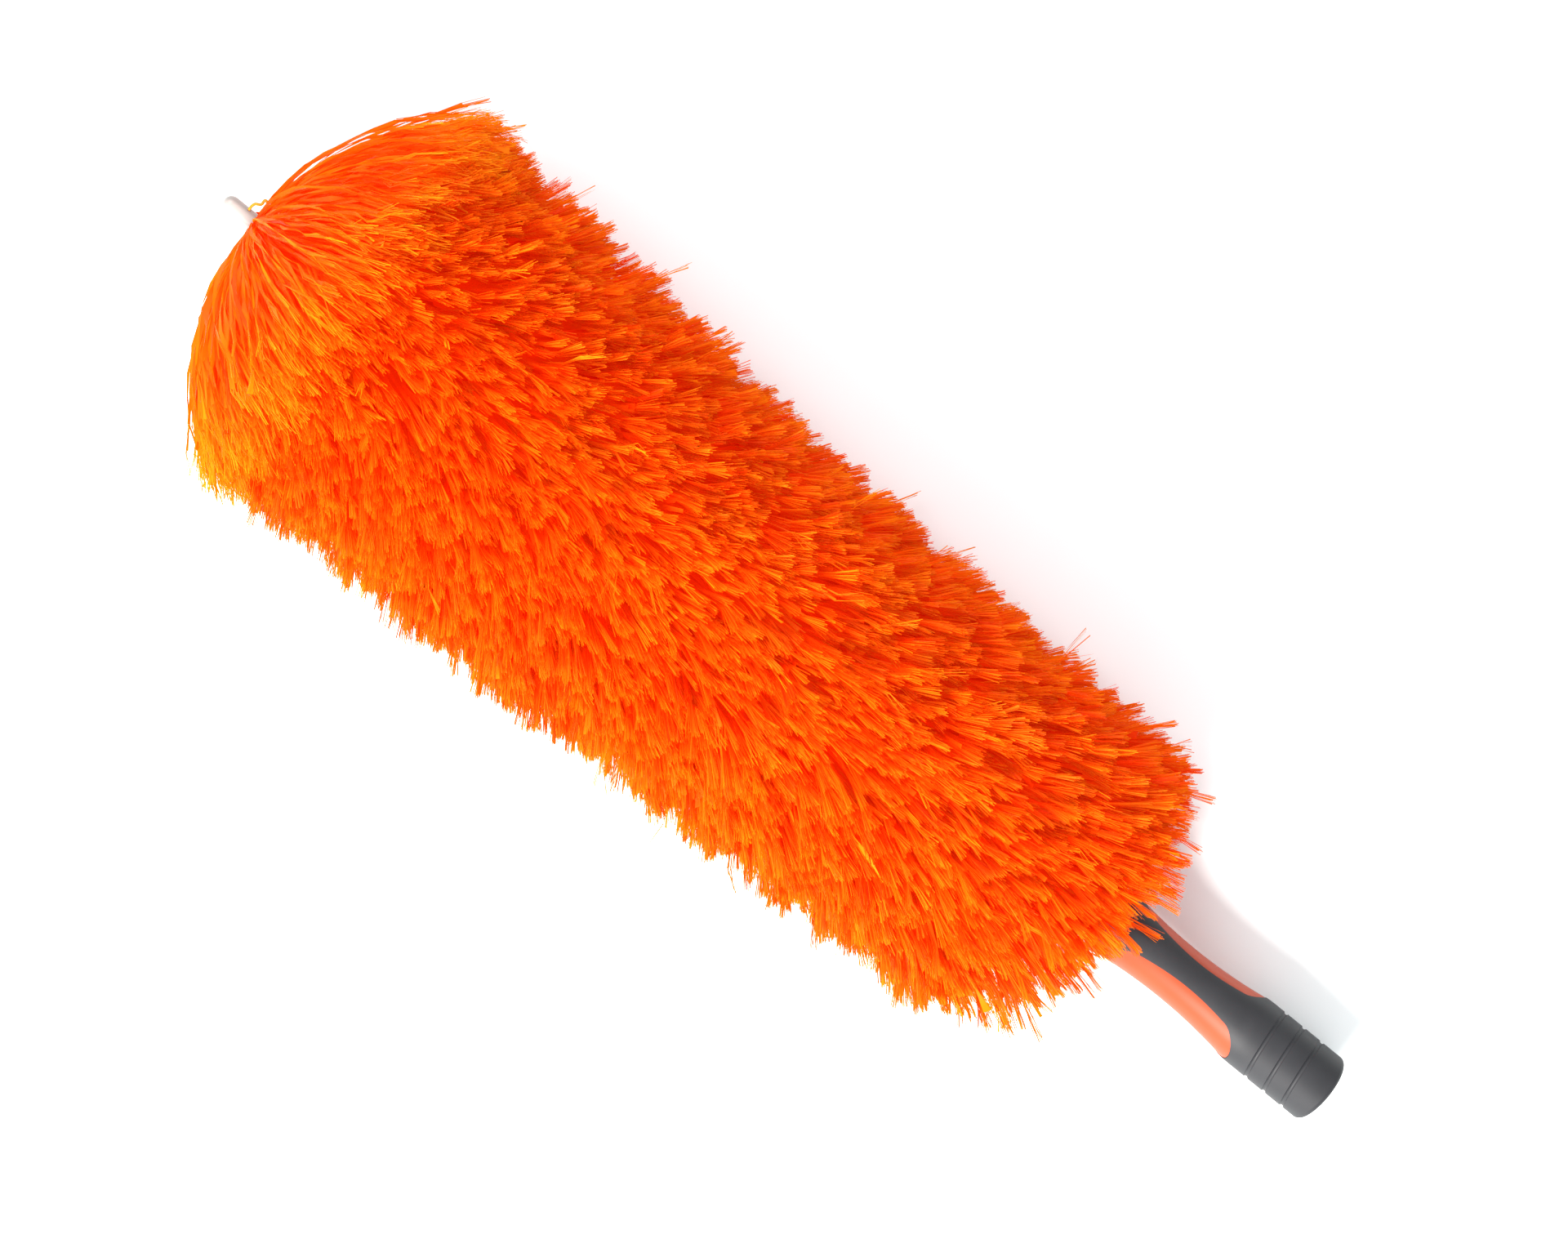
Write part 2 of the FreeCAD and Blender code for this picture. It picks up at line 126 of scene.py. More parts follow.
BENDS = [from_butt(joint["pos_m"]) for joint in frame["joints"]]
BODY_PAIRS = [(joint["parent"], joint["child"]) for joint in frame["joints"]]
BEND_REACH = 25 * MM  # how far each side of a bend the strands share its turn
FIRST_ROOT = node_span("fringe_tape_base")[0] + 15 * MM
LAST_ROOT = node_span("fringe_tape_tip")[1] - 1 * MM
ROOT_RADIUS = 5.8 * MM
LEAN_FROM, LEAN_TO = 40 * MM, 600 * MM  # the stretch of the pile that leans to one side
LEAN = 5 * MM
CUSHION = 20 * MM  # the height below which the strands are pressed up by the table
FLOOR_GAP = 0.3 * MM
SQUEEZED_OUT = 1.6  # how much wider the pile gets for each metre that its strands are lifted

# the frame's plain drums that the strands over each bend stand in for
DRUMS = (
    ("fringe_base", "fringe_fold_1"),
    ("fringe_lower", "fringe_fold_2"),
    ("fringe_upper", "fringe_fold_3", "fringe_tip"),
)

# the strands' own numbers
LOTS_PER_BEND = 3  # pieces of pile over each bend, so that none of them is too heavy
LOTS_PER_SEED = 7919  # keeps the tufts' numbers of two pieces apart
TURN_SPREAD = 0.25  # the range of the tufts' turns about their even places round the rod, in radians
FILAMENT_BUNDLE = 0.6 * MM  # how wide a tuft's filaments lie before they fray
DRIFT_SCALE, CLUMP_SCALE, KINK_SCALE = 26.0, 44.0, 60.0  # noise scales, per metre
PAINTED_GLOW = 0.43  # strength of the painted emission deep in the pile, which stands in for light that passes through and bounces among the strands
SEEN_THROUGH = 0.45  # share of the light that passes through a strand

# where the binding's loose thread runs, in millimetres: along the shaft, aside and up
THREAD_END = (
    (-1, -3.6, 2.6),
    (0.8, -5.8, 4),
    (4, -11.8, 5),
    (4.6, -9, 4.6),
    (7.2, -7, 4.2),
    (7.8, -3.2, 3.2),
)

# ---------------------------------------------------------------- sizes and colours that a user may change


class DusterFringeSettings(bpy.types.PropertyGroup):
    """The fringe's strands."""

    strand_length: FloatProperty(
        name="Strand Length",
        description="Length of one strand from the tape to its cut end",
        default=118 * MM,
        unit="LENGTH",
    )
    row_pitch: FloatProperty(
        name="Row Pitch",
        description="Distance along the rod between two turns of the tape",
        default=40 * MM,
        unit="LENGTH",
    )
    undercoat_per_metre: IntProperty(
        name="Undercoat per Metre",
        description="How many short unfrayed ribbons fill each metre of the pile below its surface",
        default=24000,
        min=100,
    )
    tufts_per_metre: IntProperty(
        name="Tufts per Metre",
        description="How many tufts each metre of the rod carries",
        default=38000,
        min=100,
    )
    strays_per_metre: IntProperty(
        name="Strays per Metre",
        description="How many loose strands curl over the pile of each metre of the rod",
        default=500,
        min=0,
    )
    splay_back: FloatProperty(
        name="Splay at the Grip",
        description="Angle between the strands and the rod at the grip's end of the fringe",
        default=math.radians(40),
        subtype="ANGLE",
    )
    splay_front: FloatProperty(
        name="Splay at the Tip",
        description="Angle between the strands and the rod at the tip",
        default=math.radians(55),
        subtype="ANGLE",
    )
    ribbon_width: FloatProperty(
        name="Ribbon Width",
        description="Width of a strand's flat ribbon before it frays",
        default=2.0 * MM,
        unit="LENGTH",
    )
    filament_width: FloatProperty(
        name="Filament Width",
        description="Width of one filament of a frayed end",
        default=0.4 * MM,
        unit="LENGTH",
    )
    fray: FloatProperty(
        name="Fray",
        description="How far the filaments of a tuft spread at its cut end",
        default=2.3 * MM,
        unit="LENGTH",
    )
    clump: FloatProperty(
        name="Clumping",
        description="How far neighbouring tufts lean together",
        default=3.2 * MM,
        unit="LENGTH",
    )
    seed: IntProperty(name="Seed", description="Which random arrangement is used", default=7)
    # painted shade and light: each strand goes from the root colour near the rod to the tip colour at its cut
    # end, so the pile is drawn deep red within and lighter at its ends; each strand's random tone also lies
    # between these two colours
    tip_colour: FloatVectorProperty(
        name="Tip Colour",
        description="Colour of the strands' cut ends",
        subtype="COLOR",
        default=(0.92, 0.375, 0.005),
    )
    shaded_root_colour: FloatVectorProperty(
        name="Root Colour",
        description="Colour of the strands near the rod",
        subtype="COLOR",
        default=(0.82, 0.05, 0.001),
    )


class DusterGripSettings(bpy.types.PropertyGroup):
    """The grip's and the rod's finishes."""

    sleeve_colour: FloatVectorProperty(
        name="Sleeve Colour",
        description="Colour of the soft sleeve",
        subtype="COLOR",
        default=(0.0232, 0.024, 0.0275),
    )
    core_colour: FloatVectorProperty(
        name="Core Colour",
        description="Colour of the hard core that shows in the windows",
        subtype="COLOR",
        default=(0.4, 0.053, 0.0165),
    )
    sheath_colour: FloatVectorProperty(
        name="Sheath Colour",
        description="Colour of the rod's plastic sheath",
        subtype="COLOR",
        default=(0.345, 0.31, 0.292),
    )


class DusterStudioSettings(bpy.types.PropertyGroup):
    """The camera, the lights and the floor."""

    lens: FloatProperty(name="Lens", description="Focal length in millimetres", default=71.25)
    height: FloatProperty(
        name="Camera Height",
        description="Height of the camera above the floor",
        default=1.57,
        unit="LENGTH",
    )
    turn: FloatProperty(
        name="Camera Turn",
        description="Turn of the camera about the vertical",
        default=math.radians(-140.86),
        subtype="ANGLE",
    )
    key_power: FloatProperty(name="Key Light", description="Power of the key light", default=76)
    sky: FloatProperty(name="Sky", description="Strength of the even light", default=0.92)
    floor_colour: FloatVectorProperty(
        name="Floor Colour",
        description="Colour of the floor",
        subtype="COLOR",
        default=(0.89, 0.945, 0.95),
    )


# ---------------------------------------------------------------- node graphs written as Python


class Wire:
    """One output of a node graph. Arithmetic on it adds Math nodes."""

    def __init__(self, graph, socket):
        self.graph = graph
        self.socket = socket

    def math(self, operation, *values):
        return self.graph.add("ShaderNodeMath", {"operation": operation}, dict(enumerate(values)))

    def __add__(self, other):
        return self.math("ADD", self, other)

    def __radd__(self, other):
        return self.math("ADD", other, self)

    def __sub__(self, other):
        return self.math("SUBTRACT", self, other)

    def __rsub__(self, other):
        return self.math("SUBTRACT", other, self)

    def __mul__(self, other):
        return self.math("MULTIPLY", self, other)

    def __rmul__(self, other):
        return self.math("MULTIPLY", other, self)

    def __truediv__(self, other):
        return self.math("DIVIDE", self, other)

    def __pow__(self, other):
        return self.math("POWER", self, other)

    def below(self, other):
        return self.math("LESS_THAN", self, other)

    def smallest(self, other):
        return self.math("MINIMUM", self, other)

    def largest(self, other):
        return self.math("MAXIMUM", self, other)

    def sin(self):
        return self.math("SINE", self)

    def cos(self):
        return self.math("COSINE", self)

    def exp(self):
        return self.math("EXPONENT", self)

    def parts(self):
        """The three parts of a vector."""
        split = self.graph.add("ShaderNodeSeparateXYZ", {}, {0: self}).socket.node
        return [Wire(self.graph, output) for output in split.outputs]


class Graph:
    """A node tree that is filled by calls."""

    def __init__(self, tree):
        self.tree = tree

    def add(self, kind, settings=None, sockets=None, output=0):
        """Adds a node: its settings first, then a value or a wire for each named or numbered socket."""
        node = self.tree.nodes.new(kind)
        for name, setting in (settings or {}).items():
            setattr(node, name, setting)
        for key, value in (sockets or {}).items():
            socket = self.find(node.inputs, key)
            if isinstance(value, Wire):
                self.tree.links.new(value.socket, socket)
            else:
                socket.default_value = value
        return Wire(self, self.find(node.outputs, output)) if len(node.outputs) else None

    @staticmethod
    def find(sockets, key):
        """A socket by its number, or the enabled one with a name."""
        if isinstance(key, int):
            return sockets[key]
        return next(s for s in sockets if s.name == key and s.enabled)

    def vector(self, x, y, z):
        return self.add("ShaderNodeCombineXYZ", {}, {0: x, 1: y, 2: z})

    def noise(self, place, scale, detail=2.0, rough=0.5, output="Fac"):
        """Smooth noise. Its Fac or its Color, about 0.5."""
        sockets = {"Vector": place, "Scale": scale, "Detail": detail, "Roughness": rough}
        return self.add("ShaderNodeTexNoise", {}, sockets, output)

    def mix(self, share, low, high):
        """A colour between two others."""
        sockets = {0: share, 6: low, 7: high}
        return self.add("ShaderNodeMix", {"data_type": "RGBA"}, sockets, 2)

    def dice(self, x, y, z):
        """Three numbers from 0 to 1 that three values decide."""
        sockets = {"Vector": self.vector(x, y, z)}
        return self.add("ShaderNodeTexWhiteNoise", {"noise_dimensions": "3D"}, sockets, "Color").parts()

    def known(self, name):
        """A value that was stored on each point."""
        return self.add("GeometryNodeInputNamedAttribute", {"data_type": "FLOAT"}, {"Name": name})

    def stored(self, geometry, values):
        """The geometry with named values stored on its points."""
        for name, value in values.items():
            geometry = self.add(
                "GeometryNodeStoreNamedAttribute",
                {"data_type": "FLOAT", "domain": "POINT"},
                {"Geometry": geometry, "Name": name, "Value": value},
            )
        return geometry


# ---------------------------------------------------------------- the fringe


def scaled(colour, factor):
    return (*(channel * factor for channel in colour), 1)


def make_tuft(name, ribbon_steps, filaments, fray_steps):
    """A strand before it is bent: a ribbon, number 0, and the filaments that its end frays into.

    Each point's coordinates are its edge of the ribbon (-1 or 1), the number, and how far along the strand it
    is (0 to 1).
    """
    points = []
    faces = []
    for number in range(filaments + 1):
        steps = fray_steps if number else ribbon_steps
        for place, step in enumerate(steps):
            if place:
                low = len(points) - 2
                faces.append((low, low + 1, low + 3, low + 2))
            points += [(-1, number, step), (1, number, step)]
    mesh = bpy.data.meshes.new(name)
    mesh.from_pydata(points, [], faces)
    mesh.shade_smooth()
    return bpy.data.objects.new(name, mesh)


# the fringe tree's named inputs, after its geometry
FRINGE_INPUTS = {
    "Tuft": "NodeSocketObject",
    "Count": "NodeSocketInt",
    "Seed": "NodeSocketInt",
    "First Root": "NodeSocketFloat",
    "Last Root": "NodeSocketFloat",
    "Root Spread": "NodeSocketFloat",
    "Row Pitch": "NodeSocketFloat",
    "Turn From": "NodeSocketFloat",
    "Length": "NodeSocketFloat",
    "Length Spread": "NodeSocketFloat",
    "Splay Back": "NodeSocketFloat",
    "Splay Front": "NodeSocketFloat",
    "Splay Spread": "NodeSocketFloat",
    "Fan": "NodeSocketFloat",
    "Bulge": "NodeSocketFloat",
    "Ribbon Width": "NodeSocketFloat",
    "Filament Width": "NodeSocketFloat",
    "Twist": "NodeSocketFloat",
    "Kink": "NodeSocketFloat",
    "Wander": "NodeSocketFloat",
    "Tone": "NodeSocketFloat",
    "Fray From": "NodeSocketFloat",
    "Fray": "NodeSocketFloat",
    "Clump": "NodeSocketFloat",
    "Material": "NodeSocketMaterial",
}


def wound_tufts(g, given):
    """Tufts on a winding round the rod, as one mesh.

    Each point carries its root, its turn and its tuft's number.
    """
    index = g.add("GeometryNodeInputIndex")
    share = (index + 0.5) / given["Count"]
    even_root = given["First Root"] + (given["Last Root"] - given["First Root"]) * share
    root_dice, turn_dice, _ = g.dice(index, given["Seed"], 0.5)
    root = even_root + (root_dice - 0.5) * given["Root Spread"]
    wound = (even_root - given["First Root"]) / given["Row Pitch"] * math.tau
    turn = given["Turn From"] + wound + (turn_dice - 0.5) * TURN_SPREAD
    lot = index + given["Seed"] * LOTS_PER_SEED
    points = g.add("GeometryNodePoints", {}, {"Count": given["Count"]})
    points = g.stored(points, {"root": root, "turn": turn, "lot": lot})
    tuft = g.add("GeometryNodeObjectInfo", {}, {"Object": given["Tuft"]}, "Geometry")
    tufts = g.add("GeometryNodeInstanceOnPoints", {}, {"Points": points, "Instance": tuft})
    return g.add("GeometryNodeRealizeInstances", {}, {0: tufts})


class Strand:
    """A point of a strand: what it knows of itself, and the steps that take it to its place.

    Before it is bent, a point's coordinates are its edge of the ribbon, its filament's number and its reach
    along the strand. Each strand is bent in the plane of the shaft and its root. There, distance is along the
    shaft, radius is out from it, and aside is square to the plane.
    """

    def __init__(self, g, given):
        self.g = g
        self.given = given
        self.edge, self.filament, self.reach = g.add("GeometryNodeInputPosition").parts()
        self.root, self.turn, self.lot = g.known("root"), g.known("turn"), g.known("lot")

        # the same for the whole tuft
        self.tuft_splay, self.tuft_length, self.tuft_swirl = self.dice(-1.0)
        self.tuft_fan, self.tuft_face, self.tuft_bulge = self.dice(-2.0)
        self.wander_side, self.wander_out, self.tuft_tint = self.dice(-3.0)

        # the same for one filament
        self.loose_side, self.loose_out, self.loose_face = self.dice(self.filament + 1.0)
        self.loose_length, self.loose_curl, self.loose_tint = self.dice(self.filament + 101.0)

        # slow changes from place to place on the winding
        ring = g.vector(self.root, self.turn.cos() * 0.1, self.turn.sin() * 0.1)
        drift = g.noise(ring, DRIFT_SCALE, 1.0, 0.5, "Color")
        self.drift_splay, self.drift_length, self.drift_swirl = drift.parts()

    def dice(self, kind):
        return self.g.dice(self.lot, kind, 3.5)

    def tint(self):
        """How light the filament's colour is."""
        return self.tuft_tint * 0.6 + self.loose_tint * 0.4 + self.given["Tone"]

    def splay(self):
        """The angle between the strand and the rod, which opens towards the tip."""
        given = self.given
        along_row = ((self.root - FIRST_ROOT) / (LAST_ROOT - FIRST_ROOT)).largest(0.0)
        even = given["Splay Back"] + (given["Splay Front"] - given["Splay Back"]) * along_row**1.5
        own = self.tuft_splay - 0.5 + (self.drift_splay - 0.5) * 1.2
        return even + own * given["Splay Spread"] - given["Fan"] * self.tuft_fan

    def length(self):
        own = self.tuft_length - 0.5 + (self.loose_length - 0.5) * 0.3 + (self.drift_length - 0.5) * 0.8
        return self.given["Length"] * (1.0 + own * self.given["Length Spread"])

    def off_the_middle(self):
        """How far the point is aside of its tuft's middle line, and raised from it.

        The ribbon turns as it goes, and its end opens into a flat fan of filaments.
        """
        given = self.given
        is_ribbon = self.filament.below(0.5)
        is_filament = 1.0 - is_ribbon
        opened = ((self.reach - given["Fray From"]) / (1.0 - given["Fray From"])).largest(0.0)
        spread = (FILAMENT_BUNDLE + given["Fray"] * opened**1.4) * is_filament
        across = (self.loose_side - 0.5) * 2.0 * spread + (self.loose_curl - 0.5) * spread * opened
        through = (self.loose_out - 0.5) * 0.9 * spread
        fan_face = (self.tuft_face + self.reach * (self.tuft_swirl - 0.5) * given["Twist"]) * math.tau
        own_face = fan_face + (self.loose_face - 0.5) * math.pi * is_filament
        width = given["Ribbon Width"] * is_ribbon + given["Filament Width"] * is_filament
        to_edge = width * (1.0 - 0.15 * opened) * 0.5 * self.edge
        aside = across * fan_face.cos() - through * fan_face.sin() + to_edge * own_face.cos()
        raised = across * fan_face.sin() + through * fan_face.cos() + to_edge * own_face.sin()
        wander = given["Wander"] * self.reach**3.5
        aside = aside + (self.wander_side - 0.5) * wander
        raised = raised + (self.wander_out - 0.5) * wander
        return aside, raised

    def round_the_shaft(self):
        """The point's distance along the shaft, and its y and height from it.

        The middle line is a curve with one handle, which the bulge pushes outwards.
        """
        splay = self.splay()
        length = self.length()
        back, out = splay.cos(), splay.sin()
        bulge = self.given["Bulge"] * (0.6 + 0.8 * self.tuft_bulge)
        handle = 2.0 * (1.0 - self.reach) * self.reach
        travelled = handle * 0.5 + self.reach * self.reach
        aside, raised = self.off_the_middle()
        distance = self.root - length * back * travelled + out * bulge * handle + raised * out
        radius = ROOT_RADIUS + length * out * travelled + back * bulge * handle + raised * back
        swirl = (self.tuft_swirl - 0.5) * 0.16 + (self.drift_swirl - 0.5) * 0.5
        angle = self.turn + swirl * self.reach
        y = radius * angle.cos() - aside * angle.sin()
        height = radius * angle.sin() + aside * angle.cos()
        return distance, y, height

    def clumped(self, distance, y, height):
        """The place after neighbours lean together, each strand kinks and the pile leans to one side."""
        g = self.g
        lean = g.noise(g.vector(distance, y, height), CLUMP_SCALE, 1.0, 0.5, "Color").parts()
        own_place = g.vector(distance + self.lot * 0.37, y, height)
        kink = g.noise(own_place, KINK_SCALE, 2.0, 0.6, "Color").parts()
        leaning = self.reach * self.given["Clump"] * 2.0
        kinked = self.reach * self.given["Kink"]
        distance = distance + (lean[0] - 0.5) * leaning * 0.7 + (kink[0] - 0.5) * kinked
        y = y + (lean[1] - 0.5) * leaning + (kink[1] - 0.5) * kinked
        height = height + (lean[2] - 0.5) * leaning + (kink[2] - 0.5) * kinked
        along_lean = ((distance - LEAN_FROM) / (LEAN_TO - LEAN_FROM)).largest(0.0).smallest(1.0)
        y = y + (along_lean * math.pi).sin() * self.reach * LEAN
        return distance, y, height

    def place(self):
        """The point's place in the row frame, pressed softly where the strands lie on the table."""
        distance, y, height = self.clumped(*self.round_the_shaft())
        x = BUTT.x + distance * SHAFT.x - height * SHAFT.z
        z = BUTT.z + distance * SHAFT.z + height * SHAFT.x
        pressed = CUSHION * ((z - CUSHION) / CUSHION).exp() + FLOOR_GAP
        lifted = (pressed - z) * z.below(CUSHION)
        return self.g.vector(x, y * (1.0 + lifted * SQUEEZED_OUT), z + lifted)


def fringe_tree():
    """The tree that winds tufts round the rod and bends each strand into place, made once.

    The two values that the material reads are stored before the points move.
    """
    if "duster_fringe" in bpy.data.node_groups:
        return bpy.data.node_groups["duster_fringe"]
    tree = bpy.data.node_groups.new("duster_fringe", "GeometryNodeTree")
    face = tree.interface
    face.new_socket("Geometry", in_out="INPUT", socket_type="NodeSocketGeometry")
    for name, kind in FRINGE_INPUTS.items():
        face.new_socket(name, in_out="INPUT", socket_type=kind)
    face.new_socket("Geometry", in_out="OUTPUT", socket_type="NodeSocketGeometry")
    g = Graph(tree)
    entry = tree.nodes.new("NodeGroupInput")
    given = {name: Wire(g, entry.outputs[name]) for name in FRINGE_INPUTS}
    fringe = wound_tufts(g, given)
    strand = Strand(g, given)
    fringe = g.stored(fringe, {"reach": strand.reach, "tint": strand.tint()})
    bent = g.add("GeometryNodeSetPosition", {}, {"Geometry": fringe, "Position": strand.place()})
    done = g.add("GeometryNodeSetMaterial", {}, {"Geometry": bent, "Material": given["Material"]})
    leave = tree.nodes.new("NodeGroupOutput")
    tree.links.new(done.socket, leave.inputs["Geometry"])
    return tree


def grow(name, tree, values):
    """Runs a geometry tree and returns its result as a plain mesh object."""
    seed_mesh = bpy.data.meshes.new(name + "_start")
    host = bpy.data.objects.new(name, seed_mesh)
    bpy.context.scene.collection.objects.link(host)
    modifier = host.modifiers.new("build", "NODES")
    modifier.node_group = tree
    sockets = {s.name: s.identifier for s in tree.interface.items_tree if s.in_out == "INPUT"}
    for key, value in values.items():
        modifier[sockets[key]] = value
    depsgraph = bpy.context.evaluated_depsgraph_get()
    mesh = bpy.data.meshes.new_from_object(host.evaluated_get(depsgraph))
    if not mesh.polygons:
        raise RuntimeError(f"{name} came out empty")
    host.modifiers.remove(modifier)
    host.data = mesh
    mesh.name = name
    return host


def keep_attributes(mesh, names):
    """Removes the working values that no material reads."""
    for attribute in [a.name for a in mesh.attributes]:
        found = mesh.attributes[attribute]
        working = found.domain == "POINT" and attribute not in names
        if working and not attribute.startswith(".") and attribute != "position":
            mesh.attributes.remove(found)


def strand_material(settings):
    """Soft filaments, deep red-orange near the rod and lighter at the cut ends, which is painted shade deep
    in the pile and painted light on the ends.

    Light passes through them, and below the surface they carry a painted emission that stands in for the
    light that passes through and bounces among the strands of a thick pile.
    """
    material = bpy.data.materials.new("fringe_strands")
    material.use_nodes = True
    material.node_tree.nodes.clear()
    g = Graph(material.node_tree)
    reach = g.add("ShaderNodeAttribute", {"attribute_name": "reach"}, {}, "Fac")
    tint = g.add("ShaderNodeAttribute", {"attribute_name": "tint"}, {}, "Fac")
    place = g.add("ShaderNodeTexCoord", {}, {}, "Object")
    patch = g.noise(place, 18.0, 3.0, 0.6)
    # painted light: over the last 30% of a strand the colour lifts towards the tip colour, while the deeper
    # parts stay red as painted shade
    end = ((reach - 0.7) / 0.3).largest(0.0)
    share = end * 0.3 + (tint - 0.5) * 0.6 + (patch - 0.5) * 0.4 + 0.04
    share = share.largest(0.0).smallest(1.0)
    shaded_root_colour = scaled(settings.shaded_root_colour, 1)
    colour = g.mix(share, shaded_root_colour, scaled(settings.tip_colour, 1))
    # painted light: an emission in the root colour, strongest near the rod and fading out at the cut ends,
    # stands in for light seen through the pile
    painted_glow = g.mix(end * end, shaded_root_colour, scaled(settings.shaded_root_colour, 0))
    look = {
        "Base Color": colour,
        "Roughness": 0.5 + (tint - 0.5) * 0.16,
        "Specular IOR Level": 0.1,
        "Emission Color": painted_glow,
        "Emission Strength": PAINTED_GLOW,
    }
    shader = g.add("ShaderNodeBsdfPrincipled", {}, look)
    seen_through = g.add("ShaderNodeBsdfTranslucent", {}, {"Color": colour})
    both = g.add("ShaderNodeMixShader", {}, {0: SEEN_THROUGH, 1: shader, 2: seen_through})
    g.add("ShaderNodeOutputMaterial", {}, {"Surface": both})
    return material


def shared_values(s, material):
    """The fringe tree's inputs, as most pieces have them."""
    return {
        "Row Pitch": s.row_pitch,
        "Root Spread": 30 * MM,
        "Turn From": 0.0,
        "Length": s.strand_length,
        "Length Spread": 0.08,
        "Splay Back": s.splay_back,
        "Splay Front": s.splay_front,
        "Splay Spread": math.radians(9),
        "Fan": 0.0,
        "Bulge": 5 * MM,
        "Ribbon Width": s.ribbon_width,
        "Filament Width": s.filament_width,
        "Twist": 1.0,
        "Kink": 6 * MM,
        "Wander": 20 * MM,
        "Tone": 0.0,
        "Fray From": 0.76,
        "Fray": s.fray,
        "Clump": s.clump,
        "Material": material,
    }


def pile(s, bend, low, high, tuft):
    """The frayed tufts over one bend, in lots."""
    for lot in range(LOTS_PER_BEND):
        first = low + (high - low) * lot / LOTS_PER_BEND
        last = low + (high - low) * (lot + 1) / LOTS_PER_BEND
        yield f"fringe_{bend + 1}_{lot + 1}", bend, {
            "Tuft": tuft,
            "Count": round(s.tufts_per_metre * (last - first)),
            "Seed": s.seed + 10 * bend + lot,
            "First Root": first,
            "Last Root": last,
            "Turn From": first / s.row_pitch * math.tau,
        }


def undercoat(s, bend, low, high, ribbon):
    """Short plain ribbons that close the pile below its surface."""
    return f"fringe_undercoat_{bend + 1}", bend, {
        "Tuft": ribbon,
        "Count": round(s.undercoat_per_metre * (high - low)),
        "Seed": s.seed + 80 + bend,
        "First Root": low,
        "Last Root": high,
        "Turn From": low / s.row_pitch * math.tau,
        "Length": s.strand_length * 0.87,
        "Ribbon Width": s.ribbon_width * 1.4,
        # painted shade: a Tone of -0.5 draws these ribbons below the surface deep red
        "Tone": -0.5,
    }


def strays(s, bend, low, high, strand):
    """Single strands that curl over the pile."""
    return f"fringe_strays_{bend + 1}", bend, {
        "Tuft": strand,
        "Count": round(s.strays_per_metre * (high - low)),
        "Seed": s.seed + 90 + bend,
        "First Root": low,
        "Last Root": high,
        "Row Pitch": 3.1 * MM,
        "Length": s.strand_length * 1.07,
        "Splay Spread": math.radians(14),
        "Ribbon Width": s.ribbon_width * 0.6,
        "Twist": 3.0,
        "Kink": 26 * MM,
        "Wander": 34 * MM,
        "Tone": 0.4,
        "Fray From": 0.75,
    }


def nose(s, strand):
    """Long strands that spring from the tip and lie back over the pile's end."""
    return "fringe_nose", 2, {
        "Tuft": strand,
        "Count": 1900,
        "Seed": s.seed + 50,
        "First Root": LAST_ROOT - 14 * MM,
        "Last Root": LAST_ROOT + 6 * MM,
        "Row Pitch": 1.7 * MM,
        "Root Spread": 2 * MM,
        "Splay Front": s.splay_front + math.radians(3),
        "Splay Spread": math.radians(12),
        "Bulge": 24 * MM,
        "Ribbon Width": s.ribbon_width * 0.75,
        "Twist": 5.0,
        "Kink": 10 * MM,
        "Wander": 16 * MM,
        "Tone": 0.5,
        "Fray From": 0.7,
    }


def neck(s, tuft):
    """A fan of tufts that lies down over the grip's neck."""
    return "fringe_neck", 0, {
        "Tuft": tuft,
        "Count": 420,
        "Seed": s.seed + 60,
        "First Root": FIRST_ROOT,
        "Last Root": FIRST_ROOT + 12 * MM,
        "Row Pitch": 1.3 * MM,
        "Fan": math.radians(30),
        "Splay Spread": math.radians(4),
        "Bulge": 6 * MM,
    }


def lock(s, number, side, turn, strand):
    """A lock of strands that hangs off one side of the nose."""
    return f"fringe_lock_{side}", 2, {
        "Tuft": strand,
        "Count": 26,
        "Seed": s.seed + 70 + number,
        "First Root": LAST_ROOT - 1 * MM,
        "Last Root": LAST_ROOT + 1 * MM,
        "Row Pitch": 10 * MM,
        "Turn From": turn,
        "Root Spread": 2 * MM,
        "Length": s.strand_length * 1.06,
        "Splay Front": s.splay_front + math.radians(3),
        "Splay Spread": math.radians(7),
        "Bulge": 34 * MM,
        "Twist": 5.0,
        "Kink": 16 * MM,
        "Wander": 14 * MM,
        "Tone": 0.6,
        "Fray From": 0.75,
    }


def fringe_pieces(s):
    """Name, bend and inputs of each piece of the fringe."""
    tuft = make_tuft("tuft_form", (0, 0.4, 0.7, 0.88), 18, (0.76, 0.87, 1))
    strand = make_tuft("long_strand_form", [n / 10 for n in range(10)], 5, (0.7, 0.8, 0.9, 1))
    ribbon = make_tuft("short_ribbon_form", (0, 0.4, 0.75, 1), 0, ())
    ends = [FIRST_ROOT] + [bend - BEND_REACH for bend in BENDS[1:]] + [LAST_ROOT]
    for bend, (low, high) in enumerate(zip(ends, ends[1:])):
        yield from pile(s, bend, low, high, tuft)
        yield undercoat(s, bend, low, high, ribbon)
        yield strays(s, bend, low, high, strand)
    yield nose(s, strand)
    yield neck(s, tuft)
    yield lock(s, 0, "left", math.radians(2), strand)
    yield lock(s, 1, "right", math.radians(176), strand)


